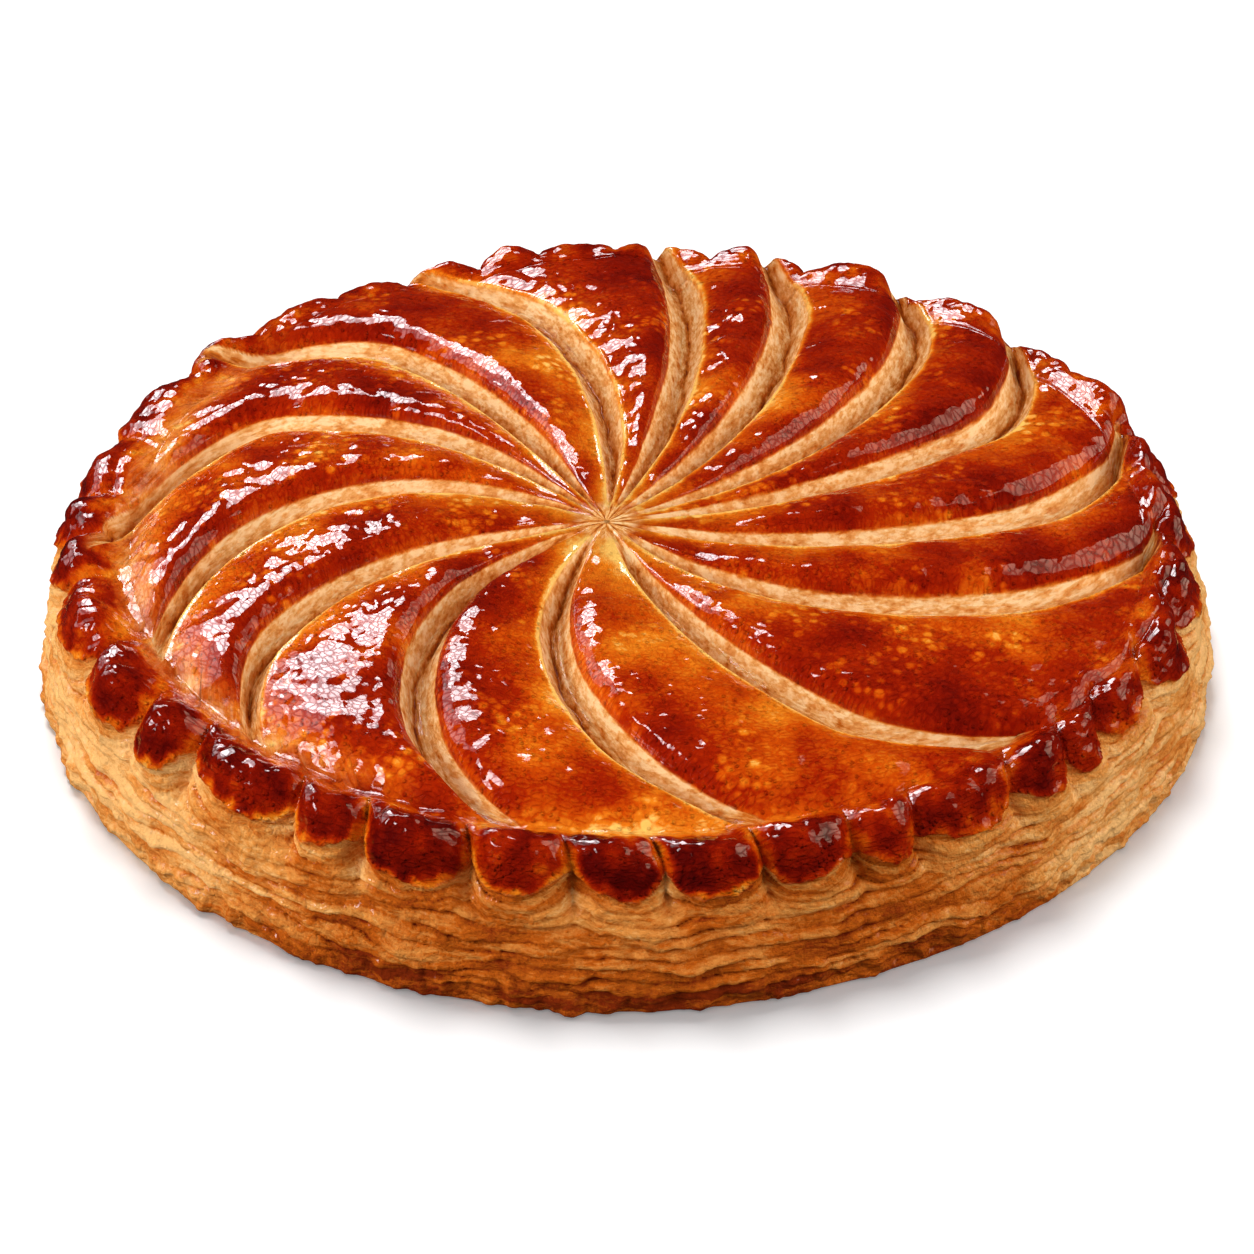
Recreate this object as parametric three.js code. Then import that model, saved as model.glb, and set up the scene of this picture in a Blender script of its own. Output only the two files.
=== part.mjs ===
// Galette des rois: a whole, uncut round of puff pastry, as one closed solid.
// A low dome is scored with curved grooves that swirl out from a point off its middle. A raised rim, pinched into
// lobes by a knife, runs round the dome, and under it the side falls in wavy flaky layers to a wider flat foot.
// Millimetres, +Z up. The foot lies on z = 0 and the round is centred on the Z axis.
import * as THREE from "three";

// ---- The round ----
const FOOT_RADIUS = 130.8; // where it reaches furthest
const LEFT_FOOT_LOSS = 1.3; // how much nearer it stays at the left, and at the front right
const FRONT_RIGHT_FOOT_LOSS = 1.8;
const RIM_RADIUS = 123.3; // outer edge of the rim at the front
const RIM_WIDENING = 1.2; // how much further out it runs at the right and back
const CENTRE_HEIGHT = 40.2; // the dome's middle
const VALLEY_HEIGHT = 30.4; // the hollow between dome and rim, at the front
const BACK_VALLEY_RISE = 1.4; // how much shallower it is at the back
const RIGHT_VALLEY_RISE = 0.8;
const BACK_CREST_DROP = 1.3; // how much lower the rim is at the back
const DOME_POWER = 3; // how late the dome falls away
const DOME_REACH = 0.886; // the valley's share of the rim's radius
const ROUND_TO = 0.6; // share of the rim's radius up to which the dome's rows are circles
const SWIRL_X = -3.9; // the point that the grooves leave from
const SWIRL_Y = -10.2;

// ---- The scored grooves ----
// Each groove: angle where it starts, how far it sweeps round, how far its end hooks on (degrees), and the share of
// the rim's radius that it reaches.
const GROOVES = [
  [192, 32, 9, 0.86],
  [212, 50, 5, 0.86],
  [244, 46, 2, 0.86],
  [286, 26, 11, 0.87],
  [309, 51, 5, 0.9],
  [342, 33, 7, 0.94],
  [370, 24, 9, 0.96],
  [386, 31, 2, 0.98],
  [410, 24, 1, 0.99],
  [431, 15, 1, 0.99],
  [447, 24, 5, 0.97],
  [476, 17, 12, 0.95],
  [490, 36, 22, 0.92],
  [509, 63, 3, 0.87],
];
const SWEEP_POWER = 1.5; // the grooves bend more towards the rim
const HOOK_FROM = 0.7; // share of the rim's radius where the ends begin to hook
const GROOVE_HALF_WIDTH = 4.4; // reached well away from the middle
const GROOVE_WIDENING = 0.27; // share of the radius over which a groove opens
const GROOVE_TAPER = 0.5; // how much narrower a groove is at its end
const TAPER_LENGTH = 0.2;
const WIDEST_GROOVE_SHARE = 0.28; // of a sector, near the middle where the grooves crowd
const GROOVE_DEPTH = 5;
const GROOVE_ROUNDNESS = 1.3; // 1 makes a V, more makes the bottom rounder
const GROOVE_STARTS = [0.02, 0.25]; // shares of the rim's radius between which a groove deepens from nothing
const GROOVE_FADES = [-0.06, 0.05]; // and, from its end on, between which it fades out
const CRACK_DEPTH = 0.9; // the split along a groove's bottom
const CRACK_SHARE = 0.3; // of the groove's half width

// ---- The ridges between them ----
// Each rises steeply behind the groove before it and leans down gently to the groove after it.
const RIDGE_RISE = 4.8;
const RIDGE_STARTS = [0.05, 0.4]; // shares of the rim's radius between which a ridge rises from nothing
const RIDGE_CLIFF = 1.7; // millimetres over which it rises
const RIDGE_SLOPE = 4.2; // millimetres over which it falls
const RIDGE_LEAN = 0.42; // how much lower it is on that side
const NOSE = 0.1; // share of the rim's radius over which its end rounds down, at the left
const RIGHT_NOSE = 0.06;
const NOSE_ROUNDNESS = 2.6;
const NOSE_REACH = 0.015; // how far past the grooves' ends it reaches, at the left
const RIGHT_NOSE_REACH = 0.055;

// ---- The rim ----
// Creases between the pinched lobes, in degrees.
const CREASES = [
  10, 21, 31, 44, 56, 69, 80, 91, 100, 107, 116, 125, 137, 146, 161, 173, 181, 189, 202, 213, 221, 235, 243, 254, 264,
  273, 283, 293, 300, 312, 320, 326, 336, 347, 359,
];
const VALLEY_RADIUS = 109; // at the front left, where the rim is widest
const NARROWING = 5.5; // how much further out the valley runs at the back and right
const SCALLOP_DEPTH = 5.2; // how far a crease cuts in behind a lobe
const LOBE_RISE = 4.2; // how much higher a lobe stands than its creases
const LOBE_STARTS = [0, 0.75]; // shares of the way across the rim between which the lobes grow from nothing
const RISE_FADES = [0, 0.6]; // and between which the back's and right's own height goes from valley to crest
const LOBE_SHAPE = 0.7; // under 1 makes full lobes with sharp creases
const LOBE_VARIATION = 0.25; // lobes differ in size by this share
const MEAN_LOBE = 0.6; // the lobe shape's mean, so that scallops leave the radius as it is
const BACK_LOBE_LOSS = 0.5; // how much fainter the lobes are at the back
const RIGHT_LOBE_LOSS = 0.25;

// Where the pastry differs: direction, degrees either side of it that have the full difference, degrees that have any.
const NARROW_RIM = [50, 66, 127];
const BACK = [80, 34, 72];
const RIGHT = [-5, 45, 80];
const FRONT = [270, 25, 70];
const WIDE = [60, 70, 130];
const LEFT = [190, 20, 60];
const FRONT_RIGHT = [308, 8, 35];

// Sections: across the rim from the valley to the edge (share of the way out, height), and down the side from the
// edge to the foot (share of the way out, a ledge's reach in millimetres, height).
const RIM_SECTION = [
  [0.2, 31.5],
  [0.42, 33.4],
  [0.63, 34.3],
  [0.82, 33.5],
  [0.94, 31.6],
  [1, 29.2],
];
const SIDE_SECTION = [
  [0.08, -1.2, 26.1],
  [0.25, 0.9, 22.8],
  [0.38, -0.9, 20.2],
  [0.55, 0.9, 17],
  [0.69, -0.8, 14.3],
  [0.85, 0.7, 10.8],
  [0.92, -0.5, 8],
  [0.99, 0, 4.8],
  [1, 0.2, 1.8],
  [0.8, 0, 0],
];
const FLANK_BULGE = 0.45; // how much sooner the sides widen, seen from above, than the front does
const LAYER_WAVE = 1.1; // how far a pastry layer wanders up and down
const LAYER_RAGGEDNESS = 0.9; // how far a layer's edge wanders in and out
const STILL_HEIGHT = 5; // under it the waves die out towards the flat foot
const CREASE_SLANT = 2.5; // degrees that a crease drifts on its way down the side
const CREASE_REACH = 0.65; // share of the way out to the foot at which the creases have died out

// ---- Mesh ----
const INNER_ROWS = [0.03, 0.07, 0.115]; // shares of the rim's radius, few columns to a sector
const OUTER_ROWS = [0.16, 0.23, 0.3, 0.37, 0.44, 0.51, 0.58, 0.65, 0.72, 0.78, 0.835, DOME_REACH];
const INNER_COLUMNS = [0, 0.25, 0.5, 0.75]; // shares of the way across a sector
const GROOVE_COLUMNS = [0, CRACK_SHARE, 0.65, 1]; // shares of the groove's half width
const RIDGE_COLUMNS = [0.05, 0.13, 0.26, 0.42, 0.6, 0.78, 0.92]; // shares of the way across a ridge
const LOBE_COLUMNS = [0, 0.08, 0.27, 0.5, 0.73, 0.92]; // shares of the way across a lobe

const COLOUR = 0xb5561a; // baked, egg-washed pastry
const ROUGHNESS = 0.4;

const { clamp, degToRad, euclideanModulo, lerp, smoothstep } = THREE.MathUtils;

// The same number from -1 to 1 each time for the same n.
function jitter(n) {
  const s = Math.sin(n * 12.9898 + 4.1414) * 43758.5453;
  return 2 * (s - Math.floor(s)) - 1;
}

// A slow waviness from -1 to 1 round the pastry, different for each seed.
function waver(angle, seed) {
  const a = degToRad(angle);
  return 0.5 * Math.sin(3 * a + seed * 1.7) + 0.3 * Math.sin(8 * a + seed * 2.9) + 0.2 * Math.sin(19 * a + seed);
}

// 1 near a direction, 0 away from it, and smooth between.
function towards(angle, [direction, full, none]) {
  const facing = Math.cos(degToRad(angle - direction));
  return smoothstep(facing, Math.cos(degToRad(none)), Math.cos(degToRad(full)));
}

// How far from the axis the valley runs in this direction.
function valleyRadius(angle) {
  return VALLEY_RADIUS + NARROWING * towards(angle, NARROW_RIM);
}

function valleyRise(angle) {
  return BACK_VALLEY_RISE * towards(angle, BACK) + RIGHT_VALLEY_RISE * towards(angle, RIGHT);
}

// ---- Grooves and ridges ----

function grooveAngle(index, rho) {
  const turns = Math.floor(index / GROOVES.length);
  const [start, sweep, hook] = GROOVES[index % GROOVES.length];
  return turns * 360 + start + sweep * rho ** SWEEP_POWER + hook * smoothstep(rho, HOOK_FROM, 1);
}

function grooveEnd(index) {
  return GROOVES[index % GROOVES.length][3];
}

// Length round the arc that one millimetre straight across a groove takes up.
function grooveSlope(index, rho) {
  const step = 0.002;
  const turned = degToRad(grooveAngle(index, rho + step) - grooveAngle(index, rho - step));
  return Math.hypot(1, (rho * turned) / (2 * step));
}

function gapAfter(index, rho) {
  return degToRad(grooveAngle(index + 1, rho) - grooveAngle(index, rho)) * rho * RIM_RADIUS;
}

// Half of a groove's width, straight across it.
function grooveHalf(index, rho) {
  const before = index === 0 ? GROOVES.length - 1 : index - 1;
  const narrower = Math.min(gapAfter(before, rho), gapAfter(index, rho));
  const end = grooveEnd(index);
  const open = GROOVE_HALF_WIDTH * (1 - Math.exp(-rho / GROOVE_WIDENING));
  const tapered = open * (1 - GROOVE_TAPER * smoothstep(rho, end - TAPER_LENGTH, end));
  return Math.min(tapered, (WIDEST_GROOVE_SHARE * narrower) / grooveSlope(index, rho));
}

function grooveAt(index, rho) {
  return {
    half: grooveHalf(index % GROOVES.length, rho),
    slope: grooveSlope(index, rho),
    end: grooveEnd(index),
  };
}

// The sector between two grooves at one radius, with its length measured round the arc.
function sectorAt(index, rho) {
  const from = grooveAngle(index, rho);
  const gap = grooveAngle(index + 1, rho) - from;
  const length = degToRad(gap) * rho * RIM_RADIUS;
  return { from, gap, length, first: grooveAt(index, rho), second: grooveAt(index + 1, rho) };
}

function grooveRelief(groove, distance, rho) {
  const share = distance / groove.half;
  const crack = CRACK_DEPTH * Math.max(0, 1 - share / CRACK_SHARE);
  const faded = smoothstep(rho - groove.end, ...GROOVE_FADES);
  const open = smoothstep(rho, ...GROOVE_STARTS) * (1 - faded);
  return -open * (GROOVE_DEPTH * (1 - share ** GROOVE_ROUNDNESS) + crack);
}

function ridgeRelief(sector, pastLip, toLip, angle, rho) {
  const share = pastLip / (pastLip + toLip);
  const right = towards(angle, RIGHT);
  const end = lerp(sector.first.end, sector.second.end, share) + lerp(NOSE_REACH, RIGHT_NOSE_REACH, right);
  const rounded = clamp((rho - end) / lerp(NOSE, RIGHT_NOSE, right) + 1, 0, 1);
  const cliff = 1 - Math.exp(-pastLip / RIDGE_CLIFF);
  const slope = 1 - Math.exp(-toLip / RIDGE_SLOPE);
  const fade = smoothstep(rho, ...RIDGE_STARTS) * (1 - rounded ** NOSE_ROUNDNESS);
  return RIDGE_RISE * cliff * slope * (1 - RIDGE_LEAN * share) * fade;
}

// Height above the plain dome at a distance round the arc from a sector's first groove.
function relief(sector, distance, rho) {
  const { first, second, length, from, gap } = sector;
  const before = distance / first.slope;
  const after = (length - distance) / second.slope;
  if (before <= first.half) return grooveRelief(first, before, rho);
  if (after <= second.half) return grooveRelief(second, after, rho);
  const angle = from + (distance / length) * gap;
  return ridgeRelief(sector, before - first.half, after - second.half, angle, rho);
}

// The same at any angle.
function reliefAt(angle, rho) {
  const turned = euclideanModulo(angle - grooveAngle(0, rho), 360) + grooveAngle(0, rho);
  let index = 0;
  while (grooveAngle(index + 1, rho) <= turned) index++;
  const sector = sectorAt(index, rho);
  return relief(sector, ((turned - sector.from) / sector.gap) * sector.length, rho);
}

// ---- Dome ----

// A point on the dome. The rows follow the swirl's middle near it, and the valley at the outside.
function domePoint(angle, rho, height) {
  const stretch = lerp(1, valleyRadius(angle) / VALLEY_RADIUS, smoothstep(rho, ROUND_TO, DOME_REACH));
  const reach = rho * stretch * RIM_RADIUS;
  const pull = 1 - rho / DOME_REACH;
  const a = degToRad(angle);
  const fall = (CENTRE_HEIGHT - VALLEY_HEIGHT - valleyRise(angle)) * (rho / DOME_REACH) ** DOME_POWER;
  return new THREE.Vector3(
    SWIRL_X * pull + reach * Math.cos(a),
    SWIRL_Y * pull + reach * Math.sin(a),
    CENTRE_HEIGHT - fall + height,
  );
}

// Distances round the arc from a sector's first groove, for every column of the sector.
function columnDistances({ length, first, second }) {
  const start = first.half * first.slope;
  const end = second.half * second.slope;
  const ridge = length - start - end;
  return [
    ...GROOVE_COLUMNS.map((share) => share * start),
    ...RIDGE_COLUMNS.map((share) => start + share * ridge),
    ...GROOVE_COLUMNS.slice(1).map((share) => length - share * end).reverse(),
  ];
}

// Distances for the rows near the middle: a groove, and three places on the ridge.
function innerDistances({ length }) {
  return INNER_COLUMNS.map((share) => share * length);
}

// One row of the dome. A vertex's key grows round the row, a whole number at each groove.
function domeRow(rho, distancesOf) {
  const row = [];
  for (let index = 0; index < GROOVES.length; index++) {
    const sector = sectorAt(index, rho);
    for (const distance of distancesOf(sector)) {
      const share = distance / sector.length;
      const angle = sector.from + share * sector.gap;
      row.push({ key: index + share, angle, point: domePoint(angle, rho, relief(sector, distance, rho)) });
    }
  }
  return row;
}

// ---- Rim and side ----

// How full the rim is at a share of the way across one lobe: 0 in the creases, about 1 in the middle.
function lobeFullness(index, share) {
  return (1 + LOBE_VARIATION * jitter(index)) * Math.sin(Math.PI * share) ** LOBE_SHAPE;
}

// Every column round the rim: its angle, and how full its lobe is there.
function rimColumns() {
  const columns = [];
  CREASES.forEach((crease, index) => {
    const next = index + 1 < CREASES.length ? CREASES[index + 1] : CREASES[0] + 360;
    for (const share of LOBE_COLUMNS) {
      columns.push({ angle: lerp(crease, next, share), lobe: lobeFullness(index, share) });
    }
  });
  return columns;
}

function turnedPoint(angle, radius, height) {
  const a = degToRad(angle);
  return new THREE.Vector3(radius * Math.cos(a), radius * Math.sin(a), height);
}

function rimRadius(angle) {
  return RIM_RADIUS + RIM_WIDENING * towards(angle, WIDE);
}

function footRadius(angle) {
  return FOOT_RADIUS - LEFT_FOOT_LOSS * towards(angle, LEFT) - FRONT_RIGHT_FOOT_LOSS * towards(angle, FRONT_RIGHT);
}

// Share of the scallops' full size by which a point stands out from the plain rim. It is negative in the creases.
function lobed(angle, lobe) {
  const loss = (1 - BACK_LOBE_LOSS * towards(angle, BACK)) * (1 - RIGHT_LOBE_LOSS * towards(angle, RIGHT));
  return loss * (lobe - MEAN_LOBE);
}

// One row round the rim. The scallops grow from nothing at the valley to their full depth at the edge.
function rimRow(columns, [share, height]) {
  const grown = smoothstep(share, ...LOBE_STARTS);
  const rho = lerp(DOME_REACH, 1, share);
  return columns.map(({ angle, lobe }) => {
    const stand = grown * lobed(angle, lobe);
    const out = lerp(valleyRadius(angle), rimRadius(angle), share) + SCALLOP_DEPTH * stand;
    const own = lerp(valleyRise(angle), -BACK_CREST_DROP * towards(angle, BACK), smoothstep(share, ...RISE_FADES));
    const up = height + own + LOBE_RISE * stand + reliefAt(angle, rho);
    return { key: angle, angle, point: turnedPoint(angle, out, up) };
  });
}

// One row round the side: the edge of a pastry layer. Scallops and waves die out towards the flat foot.
function sideRow(columns, [share, ledge, height], index) {
  const down = 1 - height / RIM_SECTION.at(-1)[1];
  const grown = 1 - smoothstep(share, 0, CREASE_REACH);
  const wavy = smoothstep(height, 0, STILL_HEIGHT);
  return columns.map(({ angle, lobe }) => {
    const turned = angle + CREASE_SLANT * down;
    const stand = grown * lobed(turned, lobe);
    const flared = share ** (1 - FLANK_BULGE * (1 - towards(turned, FRONT)));
    const ragged = wavy * LAYER_RAGGEDNESS * waver(turned * 2, index + 5);
    const out = lerp(rimRadius(turned), footRadius(turned), flared) + SCALLOP_DEPTH * stand + ledge + ragged;
    const up = height + wavy * LAYER_WAVE * waver(turned, index) + LOBE_RISE * stand;
    return { key: turned, angle: turned, point: turnedPoint(turned, out, up) };
  });
}

// ---- Joining rows into one closed surface ----

// Strip between two rows with as many vertices each.
function strip(triangles, inner, outer) {
  inner.forEach((vertex, i) => {
    const j = (i + 1) % inner.length;
    triangles.push([vertex.point, outer[i].point, outer[j].point]);
    triangles.push([vertex.point, outer[j].point, inner[j].point]);
  });
}

// Strip between two rows with different vertices, walked round by their keys.
function stitch(triangles, inner, outer, round) {
  let i = 0;
  let j = 0;
  while (i < inner.length || j < outer.length) {
    const a = inner[i % inner.length];
    const b = outer[j % outer.length];
    const nextA = inner[(i + 1) % inner.length];
    const nextB = outer[(j + 1) % outer.length];
    const keyA = nextA.key + (i + 1 >= inner.length ? round : 0);
    const keyB = nextB.key + (j + 1 >= outer.length ? round : 0);
    const stepInner = j >= outer.length || (i < inner.length && keyA <= keyB);
    triangles.push([a.point, b.point, stepInner ? nextA.point : nextB.point]);
    if (stepInner) i++;
    else j++;
  }
}

// Fan that closes a row on its middle, facing up or down.
function fan(triangles, row, middle, facesUp) {
  row.forEach(({ point }, i) => {
    const next = row[(i + 1) % row.length].point;
    triangles.push(facesUp ? [middle, point, next] : [middle, next, point]);
  });
}

// The row again, keyed by angle and turned so that it starts nearest to zero degrees.
function byAngle(row) {
  return row
    .map(({ angle, point }) => ({ key: euclideanModulo(angle, 360), angle, point }))
    .sort((a, b) => a.key - b.key);
}

function pastryGeometry() {
  const triangles = [];
  const innerRows = INNER_ROWS.map((rho) => domeRow(rho, innerDistances));
  const outerRows = OUTER_ROWS.map((rho) => domeRow(rho, columnDistances));
  fan(triangles, innerRows[0], new THREE.Vector3(SWIRL_X, SWIRL_Y, CENTRE_HEIGHT), true);
  innerRows.slice(1).forEach((row, i) => strip(triangles, innerRows[i], row));
  stitch(triangles, innerRows.at(-1), outerRows[0], GROOVES.length);
  outerRows.slice(1).forEach((row, i) => strip(triangles, outerRows[i], row));

  const columns = rimColumns();
  const edgeRows = [
    ...RIM_SECTION.map((section) => rimRow(columns, section)),
    ...SIDE_SECTION.map((section, index) => sideRow(columns, section, index)),
  ];
  stitch(triangles, byAngle(outerRows.at(-1)), byAngle(edgeRows[0]), 360);
  edgeRows.slice(1).forEach((row, i) => strip(triangles, edgeRows[i], row));
  fan(triangles, edgeRows.at(-1), new THREE.Vector3(0, 0, 0), false);

  const geometry = new THREE.BufferGeometry().setFromPoints(triangles.flat());
  geometry.computeVertexNormals();
  return geometry;
}

function galette() {
  const material = new THREE.MeshStandardMaterial({ color: COLOUR, roughness: ROUGHNESS, metalness: 0 });
  const mesh = new THREE.Mesh(pastryGeometry(), material);
  mesh.name = "galette";
  return mesh;
}

const part = new THREE.Group();
part.add(galette());

export default part;
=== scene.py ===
"""Galette des rois: the baked looks of the pastry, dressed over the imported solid.

Run as a script. Sizes and colours sit in property groups, each piece has an operator, and main() calls them in
order. Lengths are worked out in millimetres and turned to metres when a mesh is made.
"""

import itertools
import math

import bpy
import numpy as np
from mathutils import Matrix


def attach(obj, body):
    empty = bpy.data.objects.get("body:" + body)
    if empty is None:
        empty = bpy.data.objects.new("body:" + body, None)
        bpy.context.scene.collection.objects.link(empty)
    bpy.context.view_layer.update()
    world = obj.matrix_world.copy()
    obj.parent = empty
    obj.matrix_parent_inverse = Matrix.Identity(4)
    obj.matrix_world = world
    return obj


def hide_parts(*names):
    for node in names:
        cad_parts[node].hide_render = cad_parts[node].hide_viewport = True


bl_info = {
    "name": "Galette des rois",
    "version": (1, 0, 0),
    "blender": (4, 5, 0),
    "location": "View3D > Sidebar > Galette",
    "description": "Makes a glazed puff-pastry galette and the studio round it",
    "category": "Add Mesh",
}

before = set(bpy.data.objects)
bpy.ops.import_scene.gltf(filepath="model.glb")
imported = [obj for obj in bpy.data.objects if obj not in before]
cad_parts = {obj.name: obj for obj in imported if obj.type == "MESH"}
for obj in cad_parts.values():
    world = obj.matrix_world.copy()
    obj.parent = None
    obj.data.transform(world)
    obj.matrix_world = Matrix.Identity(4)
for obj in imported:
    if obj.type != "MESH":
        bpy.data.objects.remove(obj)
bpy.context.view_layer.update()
MM = 0.001

# ---- What the pastry repeats from its solid, in millimetres, degrees and shares ----
# Each groove: angle where it starts, how far it sweeps round, how far its end hooks on, share of the rim reached.
GROOVES = (
    (192, 32, 9, 0.86),
    (212, 50, 5, 0.86),
    (244, 46, 2, 0.86),
    (286, 26, 11, 0.87),
    (309, 51, 5, 0.9),
    (342, 33, 7, 0.94),
    (370, 24, 9, 0.96),
    (386, 31, 2, 0.98),
    (410, 24, 1, 0.99),
    (431, 15, 1, 0.99),
    (447, 24, 5, 0.97),
    (476, 17, 12, 0.95),
    (490, 36, 22, 0.92),
    (509, 63, 3, 0.87),
)
SWEEP_POWER = 1.5  # the grooves bend more towards the rim
HOOK_FROM = 0.7  # share of the rim's radius where the ends begin to hook
GROOVE_WIDENING = 0.27  # share of the radius over which a groove opens
GROOVE_TAPER = 0.5  # how much narrower a groove is at its end
TAPER_LENGTH = 0.2
WIDEST_GROOVE_SHARE = 0.28  # of a sector, near the middle where the grooves crowd
GROOVE_STARTS = (0.02, 0.25)  # shares of the rim's radius between which a groove deepens from nothing
GROOVE_FADES = (-0.06, 0.05)  # and, from its end on, between which it fades out
GROOVE_ROUNDNESS = 1.7  # 1 makes a V, more makes the bottom rounder
CRACK_DEPTH = 0.9  # the split along a groove's bottom
CRACK_WIDTH = 0.45
SWIRL_MIDDLE = (-3.9, -10.2)  # the point that the grooves leave from

RIDGE_STARTS = (0.05, 0.4)  # shares of the rim's radius between which a ridge rises from nothing
RIDGE_CLIFF = 1.7  # over which it rises behind its dark lip
RIDGE_SLOPE = 4.2  # over which it falls to its pale lip
RIDGE_LEAN = 0.42  # how much lower it is on that side
BACKWARD_RIDGES = (10, 11, 12, 13, 0)  # at the left, after these grooves, the crests are on the far side
NOSE = 0.1  # share of the rim's radius over which a ridge's end rounds down
RIGHT_NOSE_LOSS = 0.04
NOSE_ROUNDNESS = 2.6
NOSE_REACH = 0.015  # how far past the grooves' ends it reaches, at the left
RIGHT_NOSE_REACH = 0.055
HUB_RISE = 1.2  # a button where the grooves meet, and its share of the rim's radius
HUB_REACH = 0.13

CREASES = (
    *(10, 21, 31, 44, 56, 69, 80, 91, 100, 107, 116, 125, 137, 146, 161, 173, 181, 189),
    *(202, 213, 221, 235, 243, 254, 264, 273, 283, 293, 300, 312, 320, 326, 336, 347, 359),
)
CREASE_SLANT = 2.5  # degrees that a crease drifts on its way down the side
CREASE_REACH = 0.65  # share of the way out to the foot at which the creases have died out
CREASE_FADING = 2.4  # more makes them fade sooner on the way there
CREASE_TOP = 26.5
LOBE_SHAPE = 0.7  # under 1 makes full lobes with sharp creases
LOBE_VARIATION = 0.25  # lobes differ in size by this share
MEAN_LOBE = 0.6  # the lobe shape's mean
LOBE_STARTS = (0, 0.75)  # shares of the way across the rim, where the lobes grow from nothing
BACK_LOBE_LOSS = 0.5
RIGHT_LOBE_LOSS = 0.45
LEFT_LOBE_LOSS = 0.45
RIGHT_TWIST = 6  # degrees that a crease slants across the rim, where it is twisted like a rope
FRONT_TWIST = -2.5

DOME_POWER = 3  # how late the dome falls away
DOME_REACH = 0.886  # the valley's share of the rim's radius
ROUND_TO = 0.6  # share of the rim's radius up to which the dome's rows are circles
VALLEY_RADIUS = 109
NARROWING = 5.5  # how much further out the valley runs at the back and right
VALLEY_HEIGHT = 30.4
BACK_VALLEY_RISE = 1.4
RIGHT_VALLEY_RISE = 0.8
BACK_CREST_DROP = 1.3
RISE_FADES = (0, 0.6)  # the same, where the valley's rise gives way to the crest's drop
RIM_WIDTH = 14
RIM_WIDENING = 1.2
FOOT_OUT = 7.5  # how far the foot stands out from the rim, at the front
LEFT_FOOT_LOSS = 1.3  # how much nearer the foot stays at the left, and at the front right
FRONT_RIGHT_FOOT_LOSS = 1.8
FLANK_BULGE = 0.45  # how much sooner the sides widen, seen from above, than the front does
# Shares of the way from the valley out to the rim's edge, and from there out to the foot, and the height.
SECTION = (
    (0, 0, 30.4), (0.2, 0, 31.5), (0.42, 0, 33.4), (0.62, 0, 34.3), (0.8, 0, 33.6),
    (0.94, 0, 31.6), (1, 0, 29.2), (1, 0.06, 26.6), (1, 0.2, 23.7), (1, 0.36, 20.5),
    (1, 0.52, 17.5), (1, 0.68, 14.5), (1, 0.81, 11.5), (1, 0.91, 8.5), (1, 0.97, 6),
    (1, 1, 3.6), (1, 1, 1.7), (1, 0.96, 0.6), (1, 0.8, 0),
)

# Where the pastry differs: direction, and the degrees either side of it with the full difference and with any.
NARROW_RIM = (50, 66, 127)
BACK = (80, 34, 72)
RIGHT = (-5, 45, 80)
FRONT = (262, 45, 80)
FRONT_SIDE = (272, 12, 54)
WIDE = (60, 70, 130)
LEFT = (190, 20, 60)
FRONT_RIGHT = (308, 8, 35)
FAINT_LOBES = (165, 22, 48)
PALE_RIDGE = (276, 16, 34)
DARK_RIDGE = (315, 14, 30)
DARK_RIM = (335, 35, 60)
DARK_VALLEY = (212, 34, 56)
GLAZE_FLOW = (190, 30, 60)

# ---- The glazed cap and the side, in millimetres ----
CAP_EDGE = 26.2  # height of the cap's torn lower edge at the front
LAYER_HEIGHT = 2.5
LOW_LAYER_HEIGHT = 2  # up to LOW_LAYERS_TO
LOW_LAYERS_TO = 7
SHEETS = 3.1  # thin sheets in each layer
APART = 9.7  # keeps the noise of one groove clear of the next one's
SKIN_RADIUS = 80  # at which the glaze's wrinkles are as wide as they are long

# ---- Mesh ----
COLUMNS = 1800
GROOVE_COLUMN_SHARE = 0.3
LIP_CROWDING = 0.55  # how much closer together a ridge's columns are beside its lips
FIRST_ROW = 0.006
DOME_ROWS = 215
RIM_ROWS = 122
CURVE_STEPS = 24  # along each stretch of the section
EVEN_FROM = 0.86  # share of the rim's radius from which the columns spread out evenly


def ease(low, high, x):
    """0 at low, 1 at high, and smooth between."""
    t = np.clip((x - low) / (high - low), 0, 1)
    return t * t * (3 - 2 * t)


def bell(x, width):
    return np.exp(-((x / width) ** 2))


def stacked(*parts):
    """Points from their coordinates, which are stretched to one shape."""
    return np.stack(np.broadcast_arrays(*parts), axis=-1)


# ---- Noise ----

EDGES = [e for e in itertools.product((-1, 0, 1), repeat=3) if sum(map(abs, e)) == 2]
GRADIENTS = np.array(EDGES + EDGES[:4], dtype=np.float32)
HASH_STEPS = (73856093, 19349663, 83492791)
HASH_SEED = 668265263
HASH_MIX = 1274126177


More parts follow.
